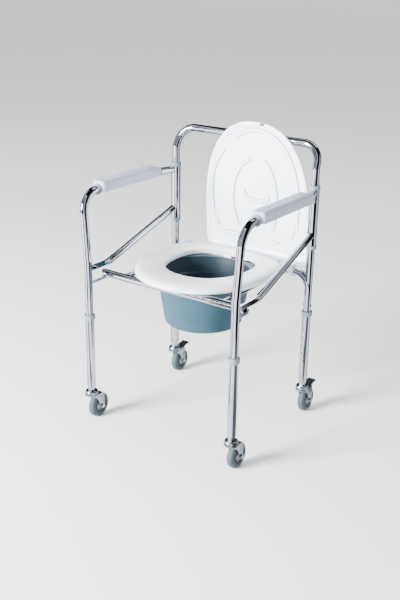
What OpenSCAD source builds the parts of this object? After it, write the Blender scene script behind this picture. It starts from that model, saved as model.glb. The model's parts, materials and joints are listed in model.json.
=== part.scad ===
// Folding commode chair on castors: a chromed tube frame with telescopic legs,
// swinging side frames, a lift-up seat unit, a pail and four swivel castors.
// Millimetres. Origin on the floor at the centre of the outline seen from above,
// front towards -Y.

/* [Frame] */
// Spacing of the rear uprights, centre to centre
rear_gap = 480; // [440:5:540]
// Spacing of the front legs, centre to centre
front_gap = 494; // [450:2:560]
// Spacing of the front and rear legs, centre to centre
leg_depth = 406; // [380:2:440]
// Outside diameter of the frame tubes
tube_d = 22.2; // [20:0.2:23]
// Wall of the frame tubes
tube_wall = 1.5; // [1.2:0.1:2]
// Height of the seat tubes' centreline
seat_tube_z = 452; // [445:1:470]
// Height of the backrest bar's centreline
back_bar_z = 822; // [800:1:860]
// How far the backrest bar stands behind the rear uprights
back_bar_set = 26; // [16:1:34]
// Height of the arm tubes' centreline
arm_z = 692; // [684:1:705]
// How far each arm stands outside its front leg
arm_splay = 13; // [8:1:20]

/* [Side frames] */
// Outside diameter of the sleeves that turn on the rear uprights
sleeve_d = 28.6; // [27:0.1:30]
// Height of a sleeve's lower end, above its lower bushing
sleeve_low_z = 540; // [530:1:560]
// Height of a sleeve's upper end, below its upper bushing
sleeve_top_z = 703; // [700:1:720]
// Height where a diagonal's centreline meets its sleeve
diagonal_top_z = 574; // [565:1:600]
// Diameter of the hook rods
hook_d = 8; // [6:0.5:9]

/* [Legs] */
// Outside diameter of the telescopic lower legs
leg_d = 25.4; // [25:0.1:27]
// Height of the lower legs' bottom ends
leg_bottom_z = 112; // [108:1:120]
// Height of the lower legs' top ends
leg_top_z = 336; // [330:1:342]
// Pitch of the height holes
hole_pitch = 25.4; // [22:0.2:26]
// Number of height holes in each leg
hole_count = 5; // [3:1:5]
// Height of the snap button, which sits in the lowest hole used
button_z = 180; // [176:1:186]
// Diameter of a snap button
button_d = 7; // [5:0.5:8]

/* [Castors] */
// Wheel diameter
wheel_d = 75; // [70:1:76]
// Tread width
tread_w = 22; // [18:1:24]
// How far the wheel trails behind the swivel axis
trail = 28; // [24:1:30]

/* [Seat] */
// Half width of the seat
seat_half_w = 195; // [185:1:200]
// Thickness of the seat
seat_t = 22; // [18:1:23]
// Half width of the seat's hole
hole_half_w = 120; // [110:1:124]
// Half width of the lid
lid_half_w = 177; // [160:1:180]
// How far the lid sits off centre on its tube
lid_shift = 37; // [0:1:40]
// Thickness of the lid's wall
lid_wall = 4; // [3:0.5:5]
// Angle from the closed lid to the lid resting on the back bar
lid_open = 85.5; // [84:0.1:85.5]
// Radius of the pail at its mouth
pail_r = 138; // [134:1:142]
// Radius of the pail at its bottom
pail_base_r = 113; // [104:1:118]
// Height of the pail's bottom
pail_z = 312; // [295:1:325]

/* [Hidden] */
$fn = 48;
// Shared clearances
turn_gap = 0.1;      // radial, between a shaft and what turns on it
slide_gap = 0.1;     // radial, between telescopic tubes
rest_gap = 0.4;      // between parts that lie on each other
eps = 0.05;
bend_swell = 0.1;    // a bend is this much fatter than its straights, which run into it
bend_lap = 0.4;
// Places
tube_r = tube_d/2;
rear_x = rear_gap/2;
front_x = front_gap/2;
mid_y = -25;         // middle of the four legs, as the castors trail behind them
rear_y = mid_y + leg_depth/2;
front_y = mid_y - leg_depth/2;
back_bar_y = rear_y + back_bar_set;
rear_leg = [rear_x, rear_y, 0];
front_leg = [front_x, front_y, 0];
inner_end_z = button_z - 15;
leg_bore_r = tube_r + slide_gap;
// Seat unit
front_tube_y = front_y + 58;
front_tube_x = rear_x;
rail_d = 14;
rail_x = 164;
seat_low_z = seat_tube_z + tube_r + rest_gap;
seat_front_y = front_y + 14;
seat_back_y = rear_y - tube_r - 4;
seat_top_z = seat_low_z + seat_t;
pail_room = rear_y - front_tube_y - tube_d;  // between the two seat tubes
pail_front_share = 0.219;                    // of the room left over, how much is in front of the pail
pail_y = front_tube_y + tube_r + pail_front_share*(pail_room - 2*pail_r) + pail_r;
rail_top_z = seat_tube_z + rail_d/2;

// ---- shape helpers ----
function unit(v) = v/norm(v);
function turn(a, b, c) = acos(min(1, max(-1, unit(b - a)*unit(c - b))));
function cut_back(pts, i, bend_r) = i == 0 || i == len(pts) - 1 || bend_r == 0 ? 0
    : bend_r*tan(turn(pts[i - 1], pts[i], pts[i + 1])/2) - bend_lap;
function mirrored(p) = [-p[0], p[1], p[2]];
function stretched(pts, by) = let (n = len(pts) - 1) [for (i = [0:n])
    i == 0 ? pts[0] - by*unit(pts[1] - pts[0])
    : i == n ? pts[n] + by*unit(pts[n] - pts[n - 1]) : pts[i]];

// A solid rod between two points
module rod(a, b, r) {
    d = b - a;
    translate(a)
        rotate([0, acos(d[2]/norm(d)), atan2(d[1], d[0])])
            cylinder(h = norm(d), r = r);
}

// The bend of a rod at point p, from direction u to direction v
module bend(p, u, v, bend_r, r) {
    angle = acos(u*v);
    inward = unit(v - (u*v)*u);
    c = p - u*bend_r*tan(angle/2) + inward*bend_r;
    x = -inward;
    z = cross(x, u);
    multmatrix([[x[0], u[0], z[0], c[0]], [x[1], u[1], z[1], c[1]],
            [x[2], u[2], z[2], c[2]], [0, 0, 0, 1]])
        rotate_extrude(angle = angle)
            translate([bend_r, 0])
                circle(r = r + bend_swell);
}

// A solid rod through a list of points, bent at each of them with the radius given for it;
// a slight bend of radius 0 is a ball of the rod's size
module bent_rod(pts, bend_r, r) {
    last = len(pts) - 1;
    for (i = [0:last - 1]) {
        u = unit(pts[i + 1] - pts[i]);
        rod(pts[i] + u*cut_back(pts, i, bend_r[i]),
            pts[i + 1] - u*cut_back(pts, i + 1, bend_r[i + 1]), r);
    }
    for (i = [1:1:last - 1])
        if (bend_r[i] == 0) translate(pts[i]) sphere(r = r + bend_swell);
        else bend(pts[i], unit(pts[i] - pts[i - 1]), unit(pts[i + 1] - pts[i]), bend_r[i], r);
}

// A bent tube, open at both ends
module bent_tube(pts, bend_r, d, wall) {
    difference() {
        bent_rod(pts, bend_r, d/2);
        bent_rod(stretched(pts, 1), bend_r, d/2 - wall);
    }
}

module ring(h, r_out, r_in) {
    difference() {
        cylinder(h = h, r = r_out);
        translate([0, 0, -1]) cylinder(h = h + 2, r = r_in);
    }
}

// A bar along X, centred on x = 0
module cross_bar(y, z, half, r) {
    translate([-half, y, z]) rotate([0, 90, 0]) cylinder(h = 2*half, r = r);
}

// Turns a part built closed about the seat tube's axis to its open place
module about_seat_tube(angle) {
    translate([0, rear_y, seat_tube_z]) rotate([-angle, 0, 0])
        translate([0, -rear_y, -seat_tube_z]) children();
}

module left() {
    mirror([1, 0, 0]) children();
}

// ---- rear frame ----
rear_bend_r = [0, 48, 48, 0];
rear_path = [[-rear_x, rear_y, inner_end_z], [-rear_x, rear_y, seat_tube_z],
    [rear_x, rear_y, seat_tube_z], [rear_x, rear_y, inner_end_z]];

module rear_leg_frame() {
    color("silver") difference() {
        bent_tube(rear_path, rear_bend_r, tube_d, tube_wall);
        for (side = [-1, 1]) {
            translate([side*rear_x, rear_y, 0]) button_hole(rear_leg);
            translate([side*rear_x, rear_y, rear_pin_z]) rotate([0, 90, 0])
                cylinder(h = 40, r = rear_pin_r + turn_gap, center = true);
        }
    }
}

back_bend_r = [0, 0, 54, 54, 0, 0];
back_kink_z = back_bar_z - 62;
back_side = [[rear_x, rear_y, seat_tube_z - 28], [rear_x, rear_y, back_kink_z],
    [rear_x - 3, back_bar_y, back_bar_z]];
back_path = [mirrored(back_side[0]), mirrored(back_side[1]), mirrored(back_side[2]),
    back_side[2], back_side[1], back_side[0]];

module back_frame() {
    color("silver") difference() {
        bent_tube(back_path, back_bend_r, tube_d, tube_wall);
        bent_rod(rear_path, rear_bend_r, tube_r + eps);
    }
}

rear_pin_z = leg_top_z + 20;
rear_pin_r = 2.5;
module rear_leg_pins() {
    color("lightgray") for (side = [-1, 1])
        translate([side*rear_x, rear_y, rear_pin_z]) rotate([0, 90, 0]) {
            cylinder(h = tube_d + 2, r = rear_pin_r, center = true);
            for (end = [0, 1]) mirror([0, 0, end]) translate([0, 0, tube_r + 0.1])
                domed_head(4.5, 3);
        }
}

module domed_head(r, h) {
    ball_r = (r*r + h*h)/(2*h);
    rotate_extrude() intersection() {
        translate([0, h - ball_r]) circle(r = ball_r);
        square([r, h]);
    }
}

// ---- snap buttons: a leaf spring in the inner tube with a button at its end ----
// The rear legs' buttons and holes face forwards, the front legs' backwards
function button_turn(place) = place[1] < mid_y ? 180 : 0;

module button_hole(place) {
    translate([0, 0, button_z]) rotate([90, 0, button_turn(place)]) cylinder(h = 30, r = button_d/2 + turn_gap);
}

module snap_button(place) {
    spring_t = 0.8;
    spring_w = 9;
    inner_r = tube_r - tube_wall;
    seat_y = sqrt(inner_r*inner_r - spring_w*spring_w/4) - spring_t - 0.2;
    color("gainsboro") translate(place) rotate([0, 0, button_turn(place)]) {
        translate([-spring_w/2, -seat_y - spring_t, button_z - 6]) cube([spring_w, spring_t, 46]);
        translate([-spring_w/2, seat_y, button_z - 6]) cube([spring_w, spring_t, 46]);
        translate([0, 0, button_z + 40]) rotate([0, 90, 0])
            intersection() {
                translate([0, 0, -spring_w/2]) ring(spring_w, seat_y + spring_t, seat_y);
                translate([-2*inner_r, -inner_r, -spring_w]) cube([2*inner_r, 2*inner_r, 2*spring_w]);
            }
        translate([0, -seat_y - spring_t + eps, button_z]) rotate([90, 0, 0]) {
            cylinder(h = leg_d/2 - seat_y - spring_t + 0.6, r = button_d/2);
            translate([0, 0, leg_d/2 - seat_y - spring_t + 0.6]) domed_head(button_d/2, 1.8);
        }
    }
}

// ---- side frames, drawn for the right side ----
kink_z = 486;
arm_x = front_x + arm_splay;
side_path = [[front_x, front_y, inner_end_z], [front_x, front_y, kink_z],
    [arm_x, front_y, arm_z], [arm_x, rear_y - 58, arm_z],
    [rear_x, rear_y, arm_z]];
side_bend_r = [0, 120, 55, 40, 0];

module side_tube() {
    difference() {
        bent_tube(side_path, side_bend_r, tube_d, tube_wall);
        translate([rear_x, rear_y, sleeve_low_z]) cylinder(h = 400, r = sleeve_d/2 + eps);
        translate(front_leg) button_hole(front_leg);
        for (y = pad_screw_y) translate([arm_x, y, arm_z - tube_d])
            cylinder(h = tube_d*2, r = pad_screw_r + turn_gap);
    }
}

module sleeve() {
    translate([rear_x, rear_y, sleeve_low_z])
        ring(sleeve_top_z - sleeve_low_z, sleeve_d/2, sleeve_d/2 - tube_wall);
}

bushing_h = 11;
bushing_r = 15.5;
module bushings() {
    for (end = [0, 1])
        translate([rear_x, rear_y, end == 0 ? sleeve_low_z : sleeve_top_z]) mirror([0, 0, 1 - end])
            difference() {
                union() {
                    rotate_extrude() polygon([[0, 0], [bushing_r, 0], [bushing_r, bushing_h - 2],
                        [bushing_r - 1.5, bushing_h], [0, bushing_h]]);
                    translate([0, 0, -16]) cylinder(h = 17, r = sleeve_d/2 - tube_wall - eps);
                }
                translate([0, 0, -20]) cylinder(h = 40, r = tube_r + turn_gap);
            }
}

// The diagonal runs down from the sleeve and ends flattened at the front leg
diagonal_x = rear_x + 13;
strip_low_z = seat_tube_z + tube_r + 1.4;
strip_h = 15;
strip_t = 5;
diagonal_foot = [diagonal_x, front_y + 96, strip_low_z + strip_h/2];
module diagonal() {
    top = [rear_x + 2, rear_y, diagonal_top_z];
    run = unit(diagonal_foot - top);
    difference() {
        union() {
            difference() {
                rod(top, diagonal_foot, tube_r - 1.1);
                rod(top - run, diagonal_foot - run*14, tube_r - 1.1 - tube_wall);
            }
            hull() {
                rod(diagonal_foot - run*4, diagonal_foot, tube_r - 0.85, $fn = 32);
                translate([diagonal_x - strip_t/2, front_y + 76, strip_low_z])
                    cube([strip_t, 2, strip_h]);
            }
            translate([diagonal_x - strip_t/2, front_y, strip_low_z])
                cube([strip_t, 77, strip_h]);
        }
        translate([rear_x, rear_y, sleeve_low_z]) cylinder(h = 200, r = sleeve_d/2 + eps);
        translate([front_x, front_y, 0]) cylinder(h = kink_z + 60, r = tube_r + bend_swell + eps);
    }
}

// The hook is a rod welded to the front leg that carries the seat unit's front tube
hook_x = front_x - 9;
hook_r = hook_d/2;
hook_low_z = seat_tube_z - tube_r - hook_r - rest_gap;
hook_tip_y = front_tube_y + tube_r + hook_r + 1.2;
module hook() {
    difference() {
        bent_rod([[hook_x, front_y + 2, hook_low_z], [hook_x, hook_tip_y, hook_low_z],
            [hook_x, hook_tip_y, seat_tube_z - 2]], [0, 9, 0], hook_r);
        translate([front_x, front_y, 0]) cylinder(h = kink_z, r = tube_r + eps);
    }
}

// ---- arm pads ----
pad_w = 46;
pad_h = 30;
pad_len = 270;
pad_low_z = arm_z - 7;
pad_front_y = front_y + 65;
pad_screw_front = 76;    // from each end of the pad to its screws
pad_screw_back = 60;
pad_screw_y = [pad_front_y + pad_screw_front, pad_front_y + pad_len - pad_screw_back];
pad_screw_r = 2.5;
pad_round = 9;
module arm_pad() {
    difference() {
        hull() for (x = [-1, 1], y = [0, 1], z = [0, 1])
            translate([arm_x + x*(pad_w/2 - pad_round), pad_front_y + pad_round + y*(pad_len - 2*pad_round),
                pad_low_z + pad_round + z*(pad_h - 2*pad_round)]) sphere(r = pad_round, $fn = 24);
        bent_rod(side_path, side_bend_r, tube_r + 0.15);
        translate([arm_x - tube_r - 0.15, pad_front_y + 45, pad_low_z - 20])
            cube([tube_d + 0.3, pad_len, arm_z - pad_low_z + 20]);
        for (y = pad_screw_y) translate([arm_x, y, arm_z])
            cylinder(h = tube_r + 8, r = pad_screw_r + turn_gap);
    }
}

module pad_screws() {
    for (y = pad_screw_y) translate([arm_x, y, arm_z]) {
        translate([0, 0, -tube_r]) cylinder(h = tube_d + 7, r = pad_screw_r);
        mirror([0, 0, 1]) translate([0, 0, tube_r]) domed_head(5, 2.6);
    }
}

// ---- lower legs with their collars ----
collar_h = 15;
module leg(place) {
    color("silver") translate(place) difference() {
        translate([0, 0, leg_bottom_z]) ring(leg_top_z - leg_bottom_z, leg_d/2, leg_bore_r);
        for (i = [0:hole_count - 1])
            translate([0, 0, button_z + i*hole_pitch]) rotate([90, 0, button_turn(place)])
                cylinder(h = leg_d, r = button_d/2 + turn_gap);
    }
}

module collar(place) {
    color("slategray") translate(place) translate([0, 0, leg_top_z + 2 - collar_h])
        difference() {
            rotate_extrude() polygon([[0, 0], [leg_d/2 + 1.6, 0], [leg_d/2 + 3.4, 3.5],
                [leg_d/2 + 3.4, collar_h - 1], [leg_d/2 + 2.6, collar_h], [0, collar_h]]);
            translate([0, 0, -1]) cylinder(h = collar_h - 1, r = leg_d/2 + eps);
            cylinder(h = collar_h + 1, r = leg_bore_r + 0.3);
        }
}

// ---- castors: the swivel axis is the leg's axis, and the wheel trails towards +Y ----
hub_z = wheel_d/2;
head_low_z = hub_z + wheel_d/2 + 4;
head_r = 19.5;
head_h = 18;         // height of the swivel head
yoke_back_y = 31;    // how far the fork reaches back over the wheel
stem_r = 5;
fork_x = tread_w/2 + 3.2;
fork_t = 2.4;
axle_r = 4;
module stem(place) {
    color("lightgray") translate(place) {
        difference() {
            translate([0, 0, leg_bottom_z - 2]) cylinder(h = 36, r = leg_bore_r - eps);
            translate([0, 0, leg_bottom_z + 30]) cylinder(h = 10, r = leg_bore_r - 3);
        }
        translate([0, 0, leg_bottom_z - 4.2]) cylinder(h = 4, r = leg_d/2 - 1);
        translate([0, 0, head_low_z + head_h + 0.3])
            cylinder(h = leg_bottom_z - head_low_z - head_h - 3, r = 10, $fn = 6);
        translate([0, 0, head_low_z - 2]) cylinder(h = head_h + 4, r = stem_r);
        translate([0, 0, head_low_z - 3.6]) cylinder(h = 3, r = 8);
    }
}

module fork(place, braked = false) {
    color("silver") translate(place) {
        difference() {
            translate([0, 0, head_low_z]) rotate_extrude() polygon([[0, 0], [head_r - 2, 0], [head_r, 2],
                [head_r, 6.2], [head_r - 2, 7.2], [head_r - 2, 8.4], [head_r, 9.4],
                [head_r, head_h - 4.5], [head_r - 1.2, head_h - 1.8], [head_r - 4, head_h - 0.4],
                [0, head_h - 0.4]]);
            translate([0, 0, head_low_z - 5]) cylinder(h = head_h + 10, r = stem_r + turn_gap);
        }
        for (side = [0, 1]) mirror([side, 0, 0]) difference() {
            union() {
                translate([fork_x, 0, 0]) rotate([90, 0, 90]) linear_extrude(fork_t)
                    polygon([[-head_r + 6, head_low_z + 2], [yoke_back_y, head_low_z + 3],
                        [trail + 8.5, head_low_z - 4], [trail + 8.5, hub_z + 3], [trail + 6, hub_z - 5.5],
                        [trail, hub_z - 8.5], [trail - 6, hub_z - 5.5], [trail - 9, hub_z + 3],
                        [trail - 14, hub_z + 17], [4, head_low_z - 8], [-8, head_low_z - 3.5]]);
                translate([0, -head_r + 6, head_low_z])
                    cube([fork_x + fork_t, (braked ? brake_y - 7 : yoke_back_y) + head_r - 6, 2.4]);
                translate([fork_x + fork_t - eps, trail, hub_z]) rotate([0, 90, 0])
                    cylinder(h = 1.2, r = 7);
                if (braked) brake_ear();
            }
            translate([0, 0, head_low_z - 5]) cylinder(h = 30, r = stem_r + turn_gap);
            translate([fork_x - 1, trail, hub_z]) rotate([0, 90, 0])
                cylinder(h = 8, r = axle_r + eps);
        }
    }
}

// Holds the brake's pin beside the wheel
module brake_ear() {
    translate([fork_x, 0, 0]) rotate([90, 0, 90]) linear_extrude(fork_t)
        polygon([[head_r - 4, head_low_z - 6], [brake_y + 4, brake_z - 5],
            [brake_y + 5, brake_z + 4], [head_r - 4, head_low_z + 7]]);
    translate([-1, brake_y, brake_z]) rotate([0, 90, 0]) {
        cylinder(h = fork_x + fork_t + 2, r = brake_pin_r);
        translate([0, 0, fork_x + fork_t + 1]) cylinder(h = 1.5, r = 3);
    }
}

module axle(place) {
    half = fork_x + fork_t + 1.2;
    color("lightgray") translate(place + [0, trail, hub_z]) rotate([0, 90, 0]) {
        translate([0, 0, -half - 2]) cylinder(h = 2*half + 4, r = axle_r);
        translate([0, 0, half]) cylinder(h = 3, r = 6.4, $fn = 6);
        mirror([0, 0, 1]) translate([0, 0, half]) cylinder(h = 4, r = 6.4, $fn = 6);
    }
}

hub_r = 20;
module hub(place) {
    color("whitesmoke") translate(place + [0, trail, hub_z]) rotate([0, 90, 0]) difference() {
        union() {
            cylinder(h = 2*fork_x - 0.8, r = 8.5, center = true);
            difference() {
                cylinder(h = tread_w - 4, r = hub_r, center = true);
                for (side = [0, 1]) mirror([0, 0, side]) translate([0, 0, 3]) ring(20, hub_r - 3, 8.5);
            }
        }
        cylinder(h = 60, r = axle_r + turn_gap, center = true);
    }
}

module tread(place) {
    color("slategray") translate(place + [0, trail, hub_z]) rotate([0, 90, 0]) rotate_extrude()
        polygon([[hub_r + eps, -tread_w/2 + 2], [hub_r + 6, -tread_w/2], [wheel_d/2 - 5, -tread_w/2 + 1],
            [wheel_d/2 - 1.2, -tread_w/2 + 4], [wheel_d/2, -4], [wheel_d/2, 4],
            [wheel_d/2 - 1.2, tread_w/2 - 4], [wheel_d/2 - 5, tread_w/2 - 1], [hub_r + 6, tread_w/2],
            [hub_r + eps, tread_w/2 - 2]]);
}

// The brake is a foot pedal hinged behind the fork, above the wheel
brake_y = 30;
brake_z = head_low_z + 3;
brake_pin_r = 1.5;
module brake(place) {
    half = fork_x - 1;
    color("silver") translate(place) difference() {
        union() {
            translate([-half, brake_y, brake_z]) rotate([0, 90, 0]) cylinder(h = 2*half, r = 3.6);
            hull() {
                translate([-half, brake_y - 2, brake_z + 1]) cube([2*half, 3, 2.5]);
                translate([-12, brake_y + 30, brake_z + 8]) cube([24, 4, 2.5]);
            }
            translate([-12, brake_y + 32, brake_z + 3]) cube([24, 2.2, 7]);
        }
        translate([-20, brake_y, brake_z]) rotate([0, 90, 0])
            cylinder(h = 40, r = brake_pin_r + turn_gap);
    }
}

// ---- seat unit ----
module seat_front_tube() {
    color("silver") difference() {
        cross_bar(front_tube_y, seat_tube_z, front_tube_x, tube_r);
        cross_bar(front_tube_y, seat_tube_z, front_tube_x + 1, tube_r - tube_wall);
    }
}

loop_w = 15;
module seat_rails() {
    color("silver") for (side = [-1, 1]) difference() {
        union() {
            rod([side*rail_x, front_tube_y, seat_tube_z], [side*rail_x, rear_y, seat_tube_z], rail_d/2);
            translate([side*rail_x - loop_w/2, rear_y, seat_tube_z]) rotate([0, 90, 0])
                cylinder(h = loop_w, r = tube_r + 2.4);
        }
        cross_bar(front_tube_y, seat_tube_z, 300, tube_r + eps);
        cross_bar(rear_y, seat_tube_z, 300, tube_r + turn_gap);
    }
}

pail_wall = 2.5;
rim_low_z = rail_top_z + 0.3;
rim_t = 2.6;
rim_r = 166;
rim_back_lip = 3;
ledge_r = pail_r - 10;
ledge_z = rim_low_z - 46;
module pail() {
    top_z = rim_low_z + rim_t;
    color("cadetblue") difference() {
        union() {
            translate([0, pail_y, 0]) rotate_extrude() difference() {
                polygon([[0, pail_z], [pail_base_r - 9, pail_z], [pail_base_r - 4.5, pail_z + 1.3],
                    [pail_base_r - 1.2, pail_z + 4.8], [pail_base_r, pail_z + 9],
                    [ledge_r, ledge_z], [ledge_r + 3, ledge_z + 3], [pail_r, rim_low_z],
                    [pail_r, top_z], [0, top_z]]);
                polygon([[0, pail_z + pail_wall], [pail_base_r - 9, pail_z + pail_wall],
                    [pail_base_r - 4.4, pail_z + 5.8], [pail_base_r - pail_wall, pail_z + 10],
                    [ledge_r - pail_wall, ledge_z + 1], [ledge_r + 3 - pail_wall, ledge_z + 4],
                    [pail_r - pail_wall, rim_low_z], [pail_r - pail_wall, top_z + 1], [0, top_z + 1]]);
            }
            intersection() {
                translate([0, pail_y, rim_low_z]) ring(rim_t, rim_r, pail_r - pail_wall);
                translate([-200, front_tube_y + tube_r + 1, 0])
                    cube([400, pail_y + pail_r + rim_back_lip - front_tube_y - tube_r - 1, 1000]);
            }
        }
    }
}

// Half of an egg outline: round in front, squarer behind
function egg(half_w, y_front, y_back, mid, n_front, n_back, steps) =
    let (y_mid = y_front + (y_back - y_front)*mid)
    [for (i = [0:steps - 1]) let (a = 360*i/steps, c = cos(a), s = sin(a),
        n = s < 0 ? n_front : n_back, reach = s < 0 ? y_mid - y_front : y_back - y_mid)
        [half_w*sign(c)*pow(abs(c), 2/n), y_mid + reach*sign(s)*pow(abs(s), 2/n)]];

hole_front_y = mid_y - 88;
hole_back_y = mid_y + 171;
seat_clip_x = [175.5, 191.5];
module seat_outline() {
    polygon(egg(seat_half_w, seat_front_y, seat_back_y, 0.58, 2.1, 4, 72));
}

module seat_ring() {
    color("white") difference() {
        union() {
            difference() {
                union() {
                    translate([0, 0, seat_low_z + 5]) linear_extrude(seat_t - 12) seat_outline();
                    seat_step(1.4, seat_low_z + 2, 3);
                    seat_step(4, seat_low_z, 2);
                    seat_step(1.6, seat_top_z - 7, 3);
                    seat_step(4.5, seat_top_z - 4, 2.4);
                    seat_step(9, seat_top_z - 1.6, 1.6);
                }
                for (k = [0:3]) translate([0, 0, seat_top_z - 10 + 2.6*k])
                    linear_extrude(20) hole_outline(k*k*0.8);
                translate([0, 0, seat_low_z - 1]) linear_extrude(seat_t) hole_outline(0);
            }
            for (side = [-1, 1]) translate([side*(seat_clip_x[0] + seat_clip_x[1])/2, 0, 0]) {
                wide = seat_clip_x[1] - seat_clip_x[0];
                translate([-wide/2, rear_y, seat_tube_z]) rotate([0, 90, 0])
                    cylinder(h = wide, r = tube_r + 4.5);
                translate([-wide/2, seat_back_y - 60, seat_low_z + 1])
                    cube([wide, 64 + tube_r + 8, 10]);
            }
        }
        cross_bar(rear_y, seat_tube_z, 300, tube_r + turn_gap);
        for (side = [-1, 1]) translate([side*rail_x - loop_w/2 - 0.6, seat_back_y - 30, 0])
            cube([loop_w + 1.2, 100, seat_tube_z + tube_r + 3]);
    }
}

module seat_step(inset, z, h) {
    translate([0, 0, z]) linear_extrude(h)
        polygon(egg(seat_half_w - inset, seat_front_y + inset, seat_back_y - inset, 0.58, 2.1, 4, 72));
}

module hole_outline(grow) {
    polygon(egg(hole_half_w + grow, hole_front_y - grow, hole_back_y + grow, 0.54, 2.2, 2.4, 60));
}

buffer_front = 92;   // from the middle of the legs to the front pair
buffer_back = 110;
buffer_r = 6;
module seat_buffers() {
    color("dimgray") for (side = [-1, 1], y = [mid_y - buffer_front, mid_y + buffer_back])
        translate([side*rail_x, y, rail_top_z + rest_gap])
            cylinder(h = seat_low_z - rail_top_z - rest_gap, r = buffer_r);
}

// ---- lid, drawn closed and then turned open ----
lid_low_z = seat_top_z + 0.5;
lid_len = 405;
lid_back_gap = 8;    // from the lid's rear edge to the seat tube's centreline
lid_back_y = rear_y - lid_back_gap;
lid_front_y = lid_back_y - lid_len;
lid_rise = 5;
module lid_shape(inset) {
    polygon(egg(lid_half_w - inset, lid_front_y + inset, lid_back_y - inset, 0.713, 2.6, 9, 72));
}

module lid_closed() {
    difference() {
        union() {
            for (k = [0:4]) translate([0, 0, lid_low_z + k*lid_rise/5])
                linear_extrude(lid_rise/5 + (k == 4 ? lid_wall : 1)) lid_shape(k*k*1.4);
            translate([0, 0, lid_low_z + lid_rise]) linear_extrude(lid_wall) lid_shape(26);
        }
        for (k = [0:3]) translate([0, 0, lid_low_z - 1]) linear_extrude(1 + (k + 1)*lid_rise/4)
            lid_shape(lid_wall + 1 + k*k*2.4);
        translate([0, lid_front_y, lid_low_z - 1]) cylinder(h = 5, r = 7);
    }
    lid_ribs();
    for (x = [-70, 70]) translate([x - 12, 0, 0]) difference() {
        union() {
            translate([0, rear_y, seat_tube_z]) rotate([0, 90, 0]) cylinder(h = 24, r = tube_r + 4);
            translate([0, rear_y - 9, seat_tube_z]) cube([24, 18, lid_low_z + 6 - seat_tube_z]);
            translate([0, lid_back_y - 14, lid_low_z]) cube([24, 28 + rear_y - lid_back_y - 5, 6.5]);
        }
        translate([-50, rear_y, seat_tube_z]) rotate([0, 90, 0]) cylinder(h = 200, r = tube_r + turn_gap);
    }
}

// Raised ribs on the lid's underside: two broken egg rings, an arc and two bars
rib_w = 10;
rib_h = 2.4;
outer_ring_inset = 38;
inner_ring_inset = 88;
long_bar_len = 78;
long_bar_set = 172;  // from the seat tube's centreline
short_bar_len = 58;
short_bar_x = 58;
short_bar_set = 86;
module lid_ribs() {
    translate([0, 0, lid_low_z + lid_rise - rib_h]) linear_extrude(rib_h + 0.5) {
        rib_arc(outer_ring_inset, [[-62, 16], [44, 62], [118, 224]]);
        rib_arc(inner_ring_inset, [[-70, 10], [40, 140], [170, 250]]);
        translate([0, rear_y - long_bar_set]) square([long_bar_len, rib_w], center = true);
        for (side = [-1, 1]) translate([side*short_bar_x, rear_y - short_bar_set])
            square([short_bar_len, rib_w], center = true);
    }
}

// Stretches of a band that runs inset from the lid's edge
module rib_arc(inset, stretches) {
    for (s = stretches) intersection() {
        difference() {
            lid_shape(inset);
            lid_shape(inset + rib_w);
        }
        translate([0, lid_front_y + 0.42*(lid_back_y - lid_front_y)])
            polygon([for (k = [0:9]) let (a = k == 0 ? 0 : s[0] + (s[1] - s[0])*(k - 1)/8)
                k == 0 ? [0, 0] : 400*[cos(a - 90), sin(a - 90)]]);
    }
}

module lid() {
    color("white") about_seat_tube(lid_open) translate([lid_shift, 0, 0]) lid_closed();
}

// ---- the nodes ----
left_back = mirrored(rear_leg);
left_front = mirrored(front_leg);
rear_leg_frame();
back_frame();
rear_leg_pins();
snap_button(left_back);  // rear_left_button
snap_button(rear_leg);  // rear_right_button
snap_button(left_front);  // front_left_button
snap_button(front_leg);  // front_right_button
color("silver") side_tube();  // right_side_tube
color("silver") sleeve();  // right_sleeve
color("slategray") bushings();  // right_bushings
color("silver") diagonal();  // right_diagonal
color("silver") hook();  // right_hook
color("lightsteelblue") arm_pad();  // right_arm_pad
color("gray") pad_screws();  // right_pad_screws
color("silver") left() side_tube();  // left_side_tube
color("silver") left() sleeve();  // left_sleeve
color("slategray") left() bushings();  // left_bushings
color("silver") left() diagonal();  // left_diagonal
color("silver") left() hook();  // left_hook
color("lightsteelblue") left() arm_pad();  // left_arm_pad
color("gray") left() pad_screws();  // left_pad_screws
seat_front_tube();
seat_rails();
pail();
seat_ring();
seat_buffers();
lid();
leg(left_front);  // front_left_leg
collar(left_front);  // front_left_collar
stem(left_front);  // front_left_stem
fork(left_front);  // front_left_fork
axle(left_front);  // front_left_axle
hub(left_front);  // front_left_hub
tread(left_front);  // front_left_tread
leg(front_leg);  // front_right_leg
collar(front_leg);  // front_right_collar
stem(front_leg);  // front_right_stem
fork(front_leg);  // front_right_fork
axle(front_leg);  // front_right_axle
hub(front_leg);  // front_right_hub
tread(front_leg);  // front_right_tread
leg(left_back);  // rear_left_leg
collar(left_back);  // rear_left_collar
stem(left_back);  // rear_left_stem
fork(left_back, true);  // rear_left_fork
axle(left_back);  // rear_left_axle
hub(left_back);  // rear_left_hub
tread(left_back);  // rear_left_tread
brake(left_back);  // rear_left_brake
leg(rear_leg);  // rear_right_leg
collar(rear_leg);  // rear_right_collar
stem(rear_leg);  // rear_right_stem
fork(rear_leg, true);  // rear_right_fork
axle(rear_leg);  // rear_right_axle
hub(rear_leg);  // rear_right_hub
tread(rear_leg);  // rear_right_tread
brake(rear_leg);  // rear_right_brake
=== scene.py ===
import json
import bpy
import bmesh
from math import radians, pi, sin, cos, sqrt, atan2, copysign
from mathutils import Vector, Matrix
from mathutils.bvhtree import BVHTree

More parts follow.
